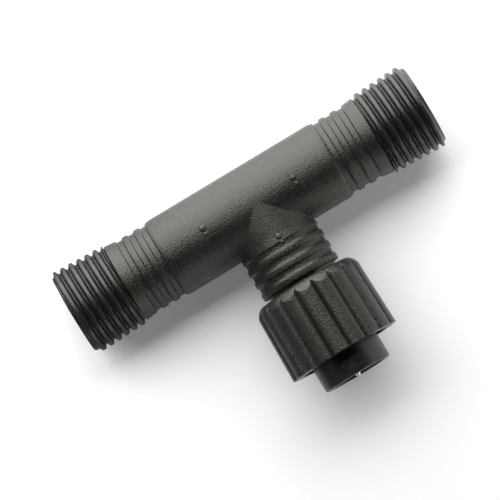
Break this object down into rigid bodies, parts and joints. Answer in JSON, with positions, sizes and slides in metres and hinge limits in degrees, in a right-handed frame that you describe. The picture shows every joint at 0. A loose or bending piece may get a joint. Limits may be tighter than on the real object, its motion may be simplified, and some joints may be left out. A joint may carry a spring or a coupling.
{
  "type": "outdoor cable tee connector",
  "caption": "Moulded T-shaped low-voltage cable splitter with threaded socket outlets on the run and a plug with a captive fluted union nut on the branch.",
  "frame": {"origin": "centre of the part's box; the run's and the branch's axes cross 16.6 mm from it along +Y and 1.9 mm along +X, at the same height", "axes": "+X along the run towards the shorter arm, -Y out of the branch plug, +Z square to both"},
  "size_m": [0.089, 0.0532, 0.026],
  "materials": {
    "overmould": "fine moulded grain",
    "nut": "fine moulded grain",
    "hard_shell": "satin moulded",
    "carrier": "smooth moulded",
    "core": "moulded",
    "contact": "turned and plated",
    "splice": "drawn",
    "seal": "moulded",
    "washer": "smooth",
    "positive_wire": "smooth jacket",
    "negative_wire": "smooth jacket"
  },
  "bodies": {
    "tee": {"tee_body": "overmould", "splice_core": "core", "left_socket_shell": "hard_shell", "right_socket_shell": "hard_shell", "left_contact_carrier": "carrier", "right_contact_carrier": "carrier", "left_positive_contact": "contact", "left_negative_contact": "contact", "right_positive_contact": "contact", "right_negative_contact": "contact", "plug_shell": "hard_shell", "pin_carrier": "carrier", "positive_pin": "contact", "negative_pin": "contact", "plug_seal": "seal", "positive_left_wire": "positive_wire", "positive_right_wire": "positive_wire", "positive_branch_wire": "positive_wire", "negative_left_wire": "negative_wire", "negative_right_wire": "negative_wire", "negative_branch_wire": "negative_wire", "positive_splice": "splice", "negative_splice": "splice"},
    "washer": {"nut_slip_washer": "washer"},
    "nut": {"union_nut": "nut"}
  },
  "joints": [
    {"name": "nut_slide", "type": "slide", "parent": "tee", "child": "washer", "axis": [0, -1, 0], "range_m": [-0.0009, 0.005]},
    {"name": "nut_spin", "type": "hinge", "parent": "washer", "child": "nut", "pos_m": [0.0019, -0.012, 0], "axis": [0, -1, 0], "continuous": true}
  ]
}
